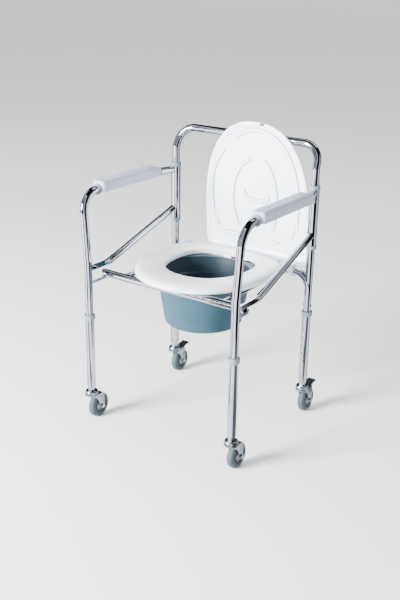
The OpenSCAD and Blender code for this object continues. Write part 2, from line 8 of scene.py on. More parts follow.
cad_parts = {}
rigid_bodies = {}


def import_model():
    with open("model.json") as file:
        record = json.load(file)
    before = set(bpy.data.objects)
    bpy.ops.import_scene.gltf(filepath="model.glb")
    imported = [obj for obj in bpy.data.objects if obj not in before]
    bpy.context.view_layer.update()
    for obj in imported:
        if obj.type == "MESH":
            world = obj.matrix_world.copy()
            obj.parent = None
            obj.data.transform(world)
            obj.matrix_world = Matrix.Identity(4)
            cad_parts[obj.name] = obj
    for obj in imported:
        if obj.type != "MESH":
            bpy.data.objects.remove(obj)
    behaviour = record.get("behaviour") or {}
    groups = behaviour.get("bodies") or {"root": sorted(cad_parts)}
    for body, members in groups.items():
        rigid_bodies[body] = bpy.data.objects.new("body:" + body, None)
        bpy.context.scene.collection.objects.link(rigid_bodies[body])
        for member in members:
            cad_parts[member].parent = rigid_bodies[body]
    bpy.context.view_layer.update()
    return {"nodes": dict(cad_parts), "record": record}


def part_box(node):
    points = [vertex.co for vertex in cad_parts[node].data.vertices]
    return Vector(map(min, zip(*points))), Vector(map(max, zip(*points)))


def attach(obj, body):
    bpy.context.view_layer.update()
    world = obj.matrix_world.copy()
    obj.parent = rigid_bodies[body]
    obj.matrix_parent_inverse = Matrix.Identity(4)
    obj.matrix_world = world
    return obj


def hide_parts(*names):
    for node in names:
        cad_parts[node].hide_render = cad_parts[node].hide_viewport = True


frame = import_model()
mm = 0.001
print("frame loaded:", len(frame["nodes"]), "nodes")

camera = {
    "place": (1.346742, -1.987339, 1.294672),
    "yaw": 34.506,      # degrees to the left of straight ahead
    "pitch": 21.073,    # degrees down
    "roll": 1.0135,
    "lens": 52.97,
    "sensorWidth": 36.0,
    "shift": (0.0, 0.0),
    "seesTo": 60,       # metres
}


def makeCamera(values):
    data = bpy.data.cameras.new("camera")
    data.sensor_fit = "AUTO"
    data.sensor_width = values["sensorWidth"]
    data.lens = values["lens"]
    data.shift_x, data.shift_y = values["shift"]
    data.clip_end = values["seesTo"]
    made = bpy.data.objects.new("camera", data)
    bpy.context.scene.collection.objects.link(made)
    turn = (Matrix.Rotation(radians(values["yaw"]), 4, "Z")
            @ Matrix.Rotation(radians(90 - values["pitch"]), 4, "X")
            @ Matrix.Rotation(radians(values["roll"]), 4, "Z"))
    made.matrix_world = Matrix.Translation(values["place"]) @ turn
    bpy.context.scene.camera = made
    return made


cameraObject = makeCamera(camera)

# Image points, in the photograph's frame of 400 x 600: the object's edges, then the middle of
# what shows of each piece. Those in "byRay" place what this script adds to a surface in view.
imageFrame = {"width": 400, "height": 600}
imagePoints = {
    "edges": {"left": 83.3, "right": 320.0, "top": 120.1, "bottom": 471.5},
    "pieces": {
        "left_bushings": (176.3, 192.3), "right_bushings": (313.3, 218.5),
        "front_left_collar": (90.6, 320.0), "front_right_collar": (233.2, 365.0),
        "rear_right_collar": (307.2, 316.8),
        "front_left_tread": (97.9, 403.8), "front_right_tread": (239.2, 457.5),
        "rear_left_tread": (179.0, 358.8), "rear_right_tread": (305.8, 399.2),
        "rear_left_brake": (187.4, 340.0), "rear_right_brake": (313.6, 377.5),
        "left_pad_skin": (126.8, 180.6), "right_pad_skin": (283.7, 209.0),
    },
    "byRay": {"left_pad_grommet": (95.7, 188.8), "right_pad_grommet": (256.5, 218.3),
              "lid_thumb_plug": (261.9, 124.7)},
}
# steps from a ray to the surface nearest it, the metres that put a miss after any hit, and how much
# nearer than a point the surface that hides it is, in metres
rays = {"walks": 8, "missCost": 1000, "hiddenBy": 0.0015}


def towards(point):
    # the direction in which a point of the picture is seen
    width, height = imageFrame["width"], imageFrame["height"]
    size = max(width, height)
    shiftX, shiftY = camera["shift"]
    ray = Vector((point[0] - width / 2 + shiftX * size, height / 2 - point[1] + shiftY * size,
                  -size * camera["lens"] / camera["sensorWidth"]))
    return (cameraObject.matrix_world.to_3x3() @ ray).normalized()


def placeOn(point, carriers):
    # where the ray through a point of the picture meets its carriers, or the place nearest the ray
    eye, ray = Vector(camera["place"]), towards(point)
    graph = bpy.context.evaluated_depsgraph_get()
    best = None
    for carrier in carriers:
        tree = BVHTree.FromObject(carrier, graph)
        where, normal, _, away = tree.ray_cast(eye, ray)
        if where is None:
            aim = eye + ray * (carrier.matrix_world @ Vector(carrier.bound_box[0]) - eye).dot(ray)
            for _ in range(rays["walks"]):      # brings the ray's nearest point and the surface's together
                where, normal, _, _ = tree.find_nearest(aim)
                aim = eye + ray * (where - eye).dot(ray)
            away = rays["missCost"] + (where - aim).length
        if best is None or away < best[0]:
            best = (away, where, normal)
    return best[1], best[2]


def colour(hexValue):      # sRGB hex to linear
    parts = [int(hexValue[i:i + 2], 16) / 255 for i in (1, 3, 5)]
    return tuple(p / 12.92 if p <= 0.04045 else ((p + 0.055) / 1.055) ** 2.4 for p in parts) + (1.0,)


def addNode(tree, kind, settings=None, links=None):
    # settings are the node's own values, its inputs' values or a ramp's stops;
    # links are {input: (node, output)}
    node = tree.nodes.new(kind)
    for name, value in (settings or {}).items():
        if name == "stops":
            for element, (at, tone) in zip(node.color_ramp.elements, value):
                element.position, element.color = at, tone
        elif isinstance(name, int) or name in node.inputs:
            node.inputs[name].default_value = value
        else:
            setattr(node, name, value)
    for name, (source, output) in (links or {}).items():
        tree.links.new(source.outputs[output], node.inputs[name])
    return node


def newMaterial(name):
    material = bpy.data.materials.new(name)
    material.use_nodes = True
    tree = material.node_tree
    tree.nodes.clear()
    shader = addNode(tree, "ShaderNodeBsdfPrincipled")
    addNode(tree, "ShaderNodeOutputMaterial", links={"Surface": (shader, "BSDF")})
    place = addNode(tree, "ShaderNodeTexCoord")
    return material, tree, shader, place


# Bright chrome plate over drawn steel tube: a mirror with faint buffing swirls and a little
# long waviness left by the drawing and bending, which breaks its reflections up.
def makeChrome(name="chromePlateOnDrawnTube", tint="#B2B6BE", dulled="#979CA6", rough=0.045, waviness=0.35):
    material, tree, shader, place = newMaterial(name)
    shader.inputs["Metallic"].default_value = 1.0
    waves = addNode(tree, "ShaderNodeTexNoise", {"Scale": 1 / 0.045, "Detail": 2.0, "Roughness": 0.5},
                    {"Vector": (place, "Object")})               # 45 mm long waves
    swirls = addNode(tree, "ShaderNodeTexNoise", {"Scale": 1 / 0.0035, "Detail": 4.0, "Roughness": 0.6},
                     {"Vector": (place, "Object")})              # 3.5 mm buffing marks
    haze = addNode(tree, "ShaderNodeTexNoise", {"Scale": 1 / 0.09, "Detail": 3.0},
                   {"Vector": (place, "Object")})                # 90 mm patches of dulled plate
    tone = addNode(tree, "ShaderNodeValToRGB", {"stops": [(0.3, colour(tint)), (0.75, colour(dulled))]},
                   {"Fac": (haze, "Fac")})
    tree.links.new(tone.outputs["Color"], shader.inputs["Base Color"])
    spread = addNode(tree, "ShaderNodeMapRange", {"From Min": 0.35, "From Max": 0.75,
                                                  "To Min": rough, "To Max": rough + 0.05},
                     {"Value": (swirls, "Fac")})
    tree.links.new(spread.outputs["Result"], shader.inputs["Roughness"])
    bump = addNode(tree, "ShaderNodeBump", {"Strength": waviness, "Distance": 0.0006},
                   {"Height": (waves, "Fac")})
    tree.links.new(bump.outputs["Normal"], shader.inputs["Normal"])
    return material


# Bright zinc plate on pressed steel: a soft mirror with a fine crystalline spangle and pressing marks.
def makeZinc(name="zincPlatedPressedSteel", tint="#979EA8", dark="#616A73", rough=0.2):
    material, tree, shader, place = newMaterial(name)
    shader.inputs["Metallic"].default_value = 1.0
    spangle = addNode(tree, "ShaderNodeTexVoronoi", {"Scale": 1 / 0.0045, "Randomness": 1.0},
                      {"Vector": (place, "Object")})             # 4.5 mm spangle
    grime = addNode(tree, "ShaderNodeTexNoise", {"Scale": 1 / 0.018, "Detail": 5.0, "Roughness": 0.65},
                    {"Vector": (place, "Object")})
    tone = addNode(tree, "ShaderNodeValToRGB", {"stops": [(0.32, colour(dark)), (0.55, colour(tint))]},
                   {"Fac": (grime, "Fac")})
    mix = addNode(tree, "ShaderNodeMixRGB", {"blend_type": "MULTIPLY", "Fac": 0.18},
                  {"Color1": (tone, "Color"), "Color2": (spangle, "Color")})
    tree.links.new(mix.outputs["Color"], shader.inputs["Base Color"])
    spread = addNode(tree, "ShaderNodeMapRange", {"From Min": 0.3, "From Max": 0.7,
                                                  "To Min": rough + 0.14, "To Max": rough},
                     {"Value": (grime, "Fac")})
    tree.links.new(spread.outputs["Result"], shader.inputs["Roughness"])
    bump = addNode(tree, "ShaderNodeBump", {"Strength": 0.25, "Distance": 0.0003},
                   {"Height": (grime, "Fac")})
    tree.links.new(bump.outputs["Normal"], shader.inputs["Normal"])
    return material


# Moulded plastic: colour that drifts a little with the melt, a fine spark-eroded grain and a soft gloss.
def makeMoulded(name, tint, shade, rough, grain=0.0008, grainDepth=0.00005, drift=0.07, paintedRibShadeTint=None):
    material, tree, shader, place = newMaterial(name)
    shader.inputs["IOR"].default_value = 1.49
    flow = addNode(tree, "ShaderNodeTexNoise", {"Scale": 1 / drift, "Detail": 3.0, "Roughness": 0.55},
                   {"Vector": (place, "Object")})
    tone = addNode(tree, "ShaderNodeValToRGB", {"stops": [(0.35, colour(tint)), (0.72, colour(shade))]},
                   {"Fac": (flow, "Fac")})
    if paintedRibShadeTint:              # painted shade along the sloping sides of the ribs, where the raised ribs shade the face
        crease = addNode(tree, "ShaderNodeAttribute", {"attribute_name": "crease"})
        tone = addNode(tree, "ShaderNodeMixRGB", {"Color2": colour(paintedRibShadeTint)},
                       {"Fac": (crease, "Fac"), "Color1": (tone, "Color")})
    tree.links.new(tone.outputs["Color"], shader.inputs["Base Color"])
    texture = addNode(tree, "ShaderNodeTexNoise", {"Scale": 1 / grain, "Detail": 2.0},
                      {"Vector": (place, "Object")})
    wear = addNode(tree, "ShaderNodeMapRange", {"From Min": 0.3, "From Max": 0.7,
                                                "To Min": rough, "To Max": min(1.0, rough + 0.1)},
                   {"Value": (flow, "Fac")})
    tree.links.new(wear.outputs["Result"], shader.inputs["Roughness"])
    bump = addNode(tree, "ShaderNodeBump", {"Strength": 0.5, "Distance": grainDepth},
                   {"Height": (texture, "Fac")})
    tree.links.new(bump.outputs["Normal"], shader.inputs["Normal"])
    return material


finishes = {
    "chrome": makeChrome(),
    "zincFastener": makeZinc("zincPlatedTurnedSteel", "#B4B9BE", "#888F95", 0.2),
    "zincPressed": makeZinc(),
    "springSteel": makeZinc("nickelPlatedSpringSteel", "#C9C6C0", "#A09D98", 0.18),
    # satin polyamide collars and bushings
    "greyPlastic": makeMoulded("mouldedGreyPolyamide", "#748289", "#67757C", 0.42),
    # integral-skin polyurethane arm pads
    "padSkin": makeMoulded("mouldedPaleUrethaneSkin", "#AEB5C6", "#A3ABBD", 0.5, 0.0011, 0.00008),
    # gloss polyethylene, blow moulded, one plastic for the seat and the lid; the lid's copy is painted whiter
    # and bluer than the seat's, painted light for its face turned to the key lamp
    "whitePlastic": makeMoulded("blowMouldedWhitePolyethylene", "#E3E8EB", "#DADFE3", 0.24, 0.0014, 0.00002),
    # the lid's copy also carries painted shade along the sides of its ribs, in its last colour
    "ribbedWhitePlastic": makeMoulded("blowMouldedWhitePolyethyleneWithRibs", "#EFF4FC", "#E8EEF7", 0.24,
                                      0.0014, 0.00002, paintedRibShadeTint="#737F87"),
    "hubPlastic": makeMoulded("mouldedPaleNylonHub", "#A8B0B5", "#969FA5", 0.4),
    "treadRubber": makeMoulded("mouldedGreyThermoplasticRubber", "#36484C", "#2E3E43", 0.62, 0.0012, 0.0001,
                               0.03),
    "bufferRubber": makeMoulded("mouldedDarkRubber", "#1D1F22", "#15171A", 0.7),
}
slotFinish = {
    "chromed_steel_tube": "chrome",
    "zinc_plated_steel": "zincFastener",
    "pressed_zinc_steel": "zincPressed",
    "spring_steel": "springSteel",
    "moulded_grey_plastic": "greyPlastic",
    "moulded_pale_plastic": "padSkin",
    "moulded_teal_plastic": "tealPlastic",
    "glossy_white_plastic": "whitePlastic",
    "moulded_hub_plastic": "hubPlastic",
    "grey_tread_rubber": "treadRubber",
    "soft_rubber": "bufferRubber",
}


# Satin polypropylene pail: as the other mouldings, with its inside painted darker: painted shade, for the
# shade inside the deep pail.
pailShape = {"middleY": -10, "baseR": 113, "baseZ": 321, "ledgeR": 128, "ledgeZ": 413, "wall": 1.25,
             "ledgeStep": 2.7, "overLedge": 1.5, "bottomZ": 312, "overBottom": 1.2,
             "outside": ("#2C4A56", "#27424D"), "paintedShadeInside": ("#26363E", "#1F2E35")}


def makePail(v):
    material, tree, shader, place = newMaterial("mouldedTealPolypropylenePail")
    shader.inputs["IOR"].default_value = 1.49
    shader.inputs["Specular IOR Level"].default_value = 0.2
    flow = addNode(tree, "ShaderNodeTexNoise", {"Scale": 1 / 0.11, "Detail": 3.0, "Roughness": 0.55},
                   {"Vector": (place, "Object")})
    outside, paintedShadeInside = [
        addNode(tree, "ShaderNodeValToRGB", {"stops": [(0.35, colour(clean)), (0.72, colour(worn))]},
                {"Fac": (flow, "Fac")})
        for clean, worn in (v["outside"], v["paintedShadeInside"])]
    parts = addNode(tree, "ShaderNodeSeparateXYZ", links={"Vector": (place, "Object")})
    y = addNode(tree, "ShaderNodeMath", {"operation": "SUBTRACT", 1: v["middleY"] * mm}, {0: (parts, "Y")})
    xx = addNode(tree, "ShaderNodeMath", {"operation": "POWER", 1: 2.0}, {0: (parts, "X")})
    yy = addNode(tree, "ShaderNodeMath", {"operation": "POWER", 1: 2.0}, {0: (y, "Value")})
    rr = addNode(tree, "ShaderNodeMath", {"operation": "ADD"}, {0: (xx, "Value"), 1: (yy, "Value")})
    radius = addNode(tree, "ShaderNodeMath", {"operation": "SQRT"}, {0: (rr, "Value")})
    wallR = addNode(tree, "ShaderNodeMapRange", {"clamp": False, "From Min": v["baseZ"] * mm,
                                                 "From Max": v["ledgeZ"] * mm,
                                                 "To Min": (v["baseR"] - v["wall"]) * mm,
                                                 "To Max": (v["ledgeR"] - v["wall"]) * mm},
                    {"Value": (parts, "Z")})
    above = addNode(tree, "ShaderNodeMath",
                    {"operation": "GREATER_THAN", 1: (v["ledgeZ"] + v["overLedge"]) * mm}, {0: (parts, "Z")})
    step = addNode(tree, "ShaderNodeMath", {"operation": "MULTIPLY_ADD", 1: v["ledgeStep"] * mm},
                   {0: (above, "Value"), 2: (wallR, "Result")})          # the wall steps out over the ledge
    within = addNode(tree, "ShaderNodeMath", {"operation": "LESS_THAN"},
                     {0: (radius, "Value"), 1: (step, "Value")})
    overBase = addNode(tree, "ShaderNodeMath",
                       {"operation": "GREATER_THAN", 1: (v["bottomZ"] + v["overBottom"]) * mm},
                       {0: (parts, "Z")})
    paintedShadeMask = addNode(tree, "ShaderNodeMath", {"operation": "MULTIPLY"},
                   {0: (within, "Value"), 1: (overBase, "Value")})
    # painted shade: the inside of the wall and floor takes the darker inside colours
    mix = addNode(tree, "ShaderNodeMixRGB", {}, {"Fac": (paintedShadeMask, "Value"), "Color1": (outside, "Color"),
                                                 "Color2": (paintedShadeInside, "Color")})
    tree.links.new(mix.outputs["Color"], shader.inputs["Base Color"])
    wear = addNode(tree, "ShaderNodeMapRange", {"To Min": 0.34, "To Max": 0.48}, {"Value": (flow, "Fac")})
    tree.links.new(wear.outputs["Result"], shader.inputs["Roughness"])
    grain = addNode(tree, "ShaderNodeTexNoise", {"Scale": 1 / 0.0009, "Detail": 2.0},
                    {"Vector": (place, "Object")})
    bump = addNode(tree, "ShaderNodeBump", {"Strength": 0.5, "Distance": 0.00005}, {"Height": (grain, "Fac")})
    tree.links.new(bump.outputs["Normal"], shader.inputs["Normal"])
    return material


finishes["tealPlastic"] = makePail(pailShape)


def dress(piece, finish):
    piece.data.materials.clear()
    piece.data.materials.append(finishes[finish])


for part in frame["record"]["subparts"]:
    dress(frame["nodes"][part["node"]], slotFinish[part["material_slot"]])
print("finishes on the CAD nodes")


def finishPiece(bm, name, finish, body, replaced=(), sharpFrom=40):
    # makes the piece, rounded in the shading but at edges of sharpFrom degrees and more
    bmesh.ops.recalc_face_normals(bm, faces=bm.faces)
    mesh = bpy.data.meshes.new(name)
    bm.to_mesh(mesh)
    bm.free()
    piece = bpy.data.objects.new(name, mesh)
    bpy.context.scene.collection.objects.link(piece)
    for face in mesh.polygons:
        face.use_smooth = True
    mesh.set_sharp_from_angle(angle=radians(sharpFrom))
    dress(piece, finish)
    if replaced:
        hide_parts(*replaced)
    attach(piece, body)
    return piece


def eggPoint(angle, halfWidth, yFront, yBack, middle, nFront, nBack):
    # a half of a superellipse in front and another behind, as the moulds of such seats are drawn
    c, s = cos(angle), sin(angle)
    power, reach = (nFront, yFront) if s < 0 else (nBack, yBack)
    yMiddle = yFront + (yBack - yFront) * middle
    return Vector((copysign(halfWidth * abs(c) ** (2 / power), c),
                   yMiddle + (reach - yMiddle) * abs(s) ** (2 / power), 0))


def sheetGrid(bm, across, along, place):
    # a grid whose corners are moved to place(u, v), with u and v from 0 to 1
    made = bmesh.ops.create_grid(bm, x_segments=across, y_segments=along, size=0.5)
    for vert in made["verts"]:
        vert.co = place(vert.co.x + 0.5, vert.co.y + 0.5)


def weld(bm, gap=0.00002):      # closes a grid's seam and its pole
    bmesh.ops.remove_doubles(bm, verts=bm.verts, dist=gap)


def bevelEdges(bm, edges, width, segments):
    bmesh.ops.bevel(bm, geom=edges, offset=width * mm, offset_type="OFFSET", segments=segments, profile=0.5,
                    affect="EDGES", material=-1)


def addBlock(bm, size, middle, corner, segments):
    # a box with bevelled edges, its size and middle in millimetres
    block = bmesh.ops.create_cube(bm, size=1)
    bmesh.ops.scale(bm, vec=Vector(size) * mm, verts=block["verts"])
    bmesh.ops.translate(bm, vec=Vector(middle) * mm, verts=block["verts"])
    bevelEdges(bm, [e for e in bm.edges if all(w in block["verts"] for w in e.verts)], corner, segments)


def along(profile, at):
    # a point at a share of the way along a list of points, by their lengths
    lengths = [0.0]
    for a, b in zip(profile, profile[1:]):
        lengths.append(lengths[-1] + (Vector(b) - Vector(a)).length)
    want = at * lengths[-1]
    for i in range(len(profile) - 1):
        if want <= lengths[i + 1] or i == len(profile) - 2:
            share = (want - lengths[i]) / max(1e-9, lengths[i + 1] - lengths[i])
            return Vector(profile[i]).lerp(Vector(profile[i + 1]), share)


def rounded(points, steps=6):
    # a smooth line through the points (Catmull-Rom)
    line = []
    for i in range(len(points) - 1):
        p0, p1 = Vector(points[max(0, i - 1)]), Vector(points[i])
        p2, p3 = Vector(points[i + 1]), Vector(points[min(len(points) - 1, i + 2)])
        for k in range(steps):
            t = k / steps
            line.append(0.5 * (2 * p1 + (p2 - p0) * t + (2 * p0 - 5 * p1 + 4 * p2 - p3) * t * t
                               + (3 * p1 - p0 - 3 * p2 + p3) * t ** 3))
    line.append(Vector(points[-1]))
    return line


# Hinge eyes of the seat and the lid
lug = {"pastHinge": 4, "corner": 2.5}

# Seat ring: a blow-moulded ring, crowned, rolled at its edge and falling to the hole
seat = {
    "halfWidth": 195, "front": -214, "back": 162.9, "middle": 0.58, "nFront": 2.1, "nBack": 4.0,
    "holeHalfWidth": 123, "holeFront": -114, "holeBack": 150, "holeMiddle": 0.54, "holeFrontN": 2.2,
    "holeBackN": 2.4,
    "low": 463.5, "top": 485.3,
    # share of the way out from the hole's edge, and height, once round the section
    "section": [(0.000, 474.5), (0.010, 477.8), (0.045, 480.3), (0.12, 482.0), (0.26, 483.8), (0.45, 485.0),
                (0.62, 485.3), (0.78, 484.6), (0.88, 482.6), (0.95, 479.2), (0.988, 475.2), (1.000, 471.0),
                (0.990, 467.0), (0.955, 464.4), (0.90, 463.5), (0.7, 463.5), (0.4, 463.5), (0.1, 463.5),
                (0.02, 464.2), (0.000, 466.5), (0.000, 474.5)],
    "perShare": 100,            # height that counts as one share where the section's length is measured
    "grid": (240, 84),
    "lugX": 183.5, "lugWidth": 16, "hingeY": 178, "hingeZ": 452, "tubeR": 11.2, "lugWall": 4.4,
    "strap": (40, 1, 10),       # how far in it starts, how high over the underside, how thick
}


def buildSeat(v):
    bm = bmesh.new()
    line = rounded([(a, z / v["perShare"], 0) for a, z in v["section"]], 4)

    def place(u, w):
        angle = 2 * pi * u
        inner = eggPoint(angle, v["holeHalfWidth"], v["holeFront"], v["holeBack"], v["holeMiddle"],
                         v["holeFrontN"], v["holeBackN"])
        outer = eggPoint(angle, v["halfWidth"], v["front"], v["back"], v["middle"], v["nFront"], v["nBack"])
        at = along(line, w)
        return Vector((inner.x + (outer.x - inner.x) * at.x, inner.y + (outer.y - inner.y) * at.x,
                       min(v["top"], at.y * v["perShare"]))) * mm

    sheetGrid(bm, *v["grid"], place)
    weld(bm)
    for side in (-1, 1):
        addLug(bm, side * v["lugX"], v)
    finishPiece(bm, "seat_shell", "whitePlastic", "seat", ["seat_ring"])


def addLug(bm, x, v):
    # a hinge eye round the cross tube with a strap up to the panel
    width, hingeY, hingeZ, bore, wall = v["lugWidth"], v["hingeY"], v["hingeZ"], v["tubeR"], v["lugWall"]
    made = bmesh.ops.create_circle(bm, segments=48, radius=bore * mm)
    ringEdges = [e for e in bm.edges if all(w in made["verts"] for w in e.verts)]
    turned = bmesh.ops.extrude_edge_only(bm, edges=ringEdges)
    outerVerts = [g for g in turned["geom"] if isinstance(g, bmesh.types.BMVert)]
    for vert in outerVerts:
        vert.co *= (bore + wall) / bore
    faces = [g for g in turned["geom"] if isinstance(g, bmesh.types.BMFace)]
    solid = bmesh.ops.extrude_face_region(bm, geom=faces)
    top = [g for g in solid["geom"] if isinstance(g, bmesh.types.BMVert)]
    for vert in top:
        vert.co.z += width * mm
    verts = list(set(made["verts"] + outerVerts + top))
    shift = (Matrix.Translation(Vector((x - width / 2, hingeY, hingeZ)) * mm)
             @ Matrix.Rotation(radians(90), 4, "Y"))
    bmesh.ops.transform(bm, matrix=shift, verts=verts)
    inset, rise, thick = v["strap"]
    yFrom, zFrom = v["back"] - inset, v["low"] + rise
    length = hingeY + lug["pastHinge"] - yFrom
    addBlock(bm, (width, length, thick), (x, yFrom + length / 2, zFrom + thick / 2), lug["corner"], 4)


buildSeat(seat)
print("seat made")

# Lid: a blow-moulded panel with raised ribs on the side that faces the sitter when it is open
lid = {
    "halfWidth": 178.5, "front": -234.4, "back": 170, "middle": 0.713, "nFront": 2.38, "nBack": 12.0,
    "shift": 37, "low": 486.1, "top": 494.9, "dish": 4.4, "edge": 7.0,
    "dishRun": 16,              # how far in from the rolled edge the dish is at its full depth
    "creaseOver": 0.5,          # slack over the dish's floor in telling the ribbed side's corners
    "sideRoll": 0.8, "faceRoll": 0.75,          # powers that fill out the rolled edge's half circle
    "grid": (400, 190), "centreAt": 0.55,
    "ribbedShare": 0.74, "edgeShare": 0.10,     # of the grid's rings; the plain side has the rest
    "ribWidth": 15.5, "ribSlope": 4.0, "ribHeight": 3.6,
    "hingeY": 178, "hingeZ": 452, "open": 85.5, "tubeR": 11.2,
    "lugX": (-70, 70), "lugWidth": 24, "lugWall": 4,
    "strap": (12, 0.6, 6.5),
    "postDepth": 17, "postFoot": 8, "postHead": 6, "postBack": 0.5,     # the posts from the eyes to the panel
    # ribs as seen from in front of the open lid: across from its middle, up from the hinge
    "ribs": {
        "crown": [(-66, 362), (-46, 376), (-16, 388), (16, 389), (52, 378), (86, 354), (114, 314), (131, 268),
                  (139, 220), (140, 170), (134, 120), (120, 84)],
        "leftOuter": [(-112, 318), (-132, 288), (-148, 252), (-156, 210), (-157, 165), (-151, 118),
                      (-138, 84)],
        "leftInner": [(-22, 300), (-46, 284), (-66, 254), (-79, 214), (-83, 178), (-79, 136), (-66, 98)],
        "rightInner": [(30, 300), (46, 280), (60, 246), (67, 210), (69, 176), (66, 136), (56, 98)],
        "middleArc": [(-42, 202), (-36, 186), (-18, 179), (6, 177), (26, 180), (42, 189)],
        "leftBar": [(-112, 61), (-58, 61)],
        "rightBar": [(14, 58), (72, 58)],
    },
}


def ribHeightAt(x, up, lines, v):
    # a flat-topped band with sloping sides along each line
    half, slope = v["ribWidth"] / 2, v["ribSlope"]
    nearest = half * half
    for line, (low, high) in lines:
        if not (low.x - half < x < high.x + half and low.y - half < up < high.y + half):
            continue
        for a, b in zip(line, line[1:]):
            dx, dy = b.x - a.x, b.y - a.y
            t = max(0.0, min(1.0, ((x - a.x) * dx + (up - a.y) * dy) / (dx * dx + dy * dy)))
            nearest = min(nearest, (a.x + t * dx - x) ** 2 + (a.y + t * dy - up) ** 2)
    share = max(0.0, min(1.0, (half - sqrt(nearest)) / slope))
    return v["ribHeight"] * share * share * (3 - 2 * share)


def buildLid(v):
    bm = bmesh.new()
    lines = []
    for pts in v["ribs"].values():
        line = rounded([(x, up, 0) for x, up in pts], 3)
        corners = [Vector([pick(p[i] for p in line) for i in range(2)]) for pick in (min, max)]
        lines.append((line, corners))
    centre = Vector((0, v["front"] + (v["back"] - v["front"]) * v["centreAt"], 0))
    rings, edgeShare = v["ribbedShare"], v["edgeShare"]

    def place(u, w):
        outer = eggPoint(2 * pi * u, v["halfWidth"], v["front"], v["back"], v["middle"], v["nFront"],
                         v["nBack"])
        reach = (outer - centre).length
        half = (v["top"] - v["low"]) / 2
        if w < rings:                                   # ribbed side, from the middle out
            inset = v["edge"] + (reach - v["edge"]) * (1 - w / rings)
            at = centre + (outer - centre) * (1 - inset / reach)
            fall = min(1.0, (inset - v["edge"]) / v["dishRun"])
            dish = v["dish"] * fall * fall * (3 - 2 * fall)
            rib = ribHeightAt(at.x, v["hingeY"] - at.y, lines, v)
            z = v["low"] + dish - rib * (1 if fall > 0 else 0)
        elif w < rings + edgeShare:                     # rolled edge
            t = pi * (w - rings) / edgeShare
            at = centre + (outer - centre) * (1 - (v["edge"] * (1 - sin(t) ** v["sideRoll"])) / reach)
            z = v["low"] + half - half * copysign(abs(cos(t)) ** v["faceRoll"], cos(t))
        else:                                           # plain side, back to the middle
            share = (w - rings - edgeShare) / (1 - rings - edgeShare)
            inset = v["edge"] + (reach - v["edge"]) * share
            at = centre + (outer - centre) * (1 - inset / reach)
            z = v["top"]
        return Vector((at.x + v["shift"], at.y, z)) * mm

    sheetGrid(bm, *v["grid"], place)
    weld(bm)
    crease = bm.verts.layers.float.new("crease")         # the ribs' sloping sides, where the plastic gets its painted rib shade
    for w in bm.verts:
        if w.co.z < (v["low"] + v["dish"] + v["creaseOver"]) * mm:
            rib = ribHeightAt(w.co.x / mm - v["shift"], v["hingeY"] - w.co.y / mm, lines, v)
            share = rib / v["ribHeight"]
            w[crease] = 4 * share * (1 - share)
    for x in v["lugX"]:
        addLug(bm, v["shift"] + x, v)
        low, high = v["hingeZ"] + v["postFoot"], v["low"] + v["postHead"]
        addBlock(bm, (v["lugWidth"], v["postDepth"], high - low),
                 (v["shift"] + x, v["hingeY"] - v["postBack"], (low + high) / 2), lug["corner"], 4)
    hinge = Matrix.Translation(Vector((0, v["hingeY"], v["hingeZ"])) * mm)
    bmesh.ops.transform(bm, matrix=hinge @ Matrix.Rotation(radians(-v["open"]), 4, "X") @ hinge.inverted(),
                        verts=bm.verts)
    return finishPiece(bm, "lid_panel", "ribbedWhitePlastic", "lid", ["lid"])


lidPiece = buildLid(lid)
print("lid made")

# Arm pads: moulded skin over foam on a narrower foot, drawn in to the top, the rear end fallen
armPad = {"x": 260, "width": 46, "low": 685, "height": 30, "front": -163, "length": 270,
          "corner": 9, "footWidth": 43.5, "footHeight": 3.5, "rearDrop": 8, "rearRun": 30,
          "partingZ": 12, "drawIn": 0.05, "loops": (0.06, 0.12, 0.2, 0.3), "skinCorner": 1.6,
          "footShort": 3, "footRise": 2, "footCorner": 1.2,
          "tubeZ": 692, "grommetR": 15.6, "tubeR": 11.2, "grommetHalf": 3, "grommetCorner": 1,
          "tilt": 4, "mouth": (-4, 1)}


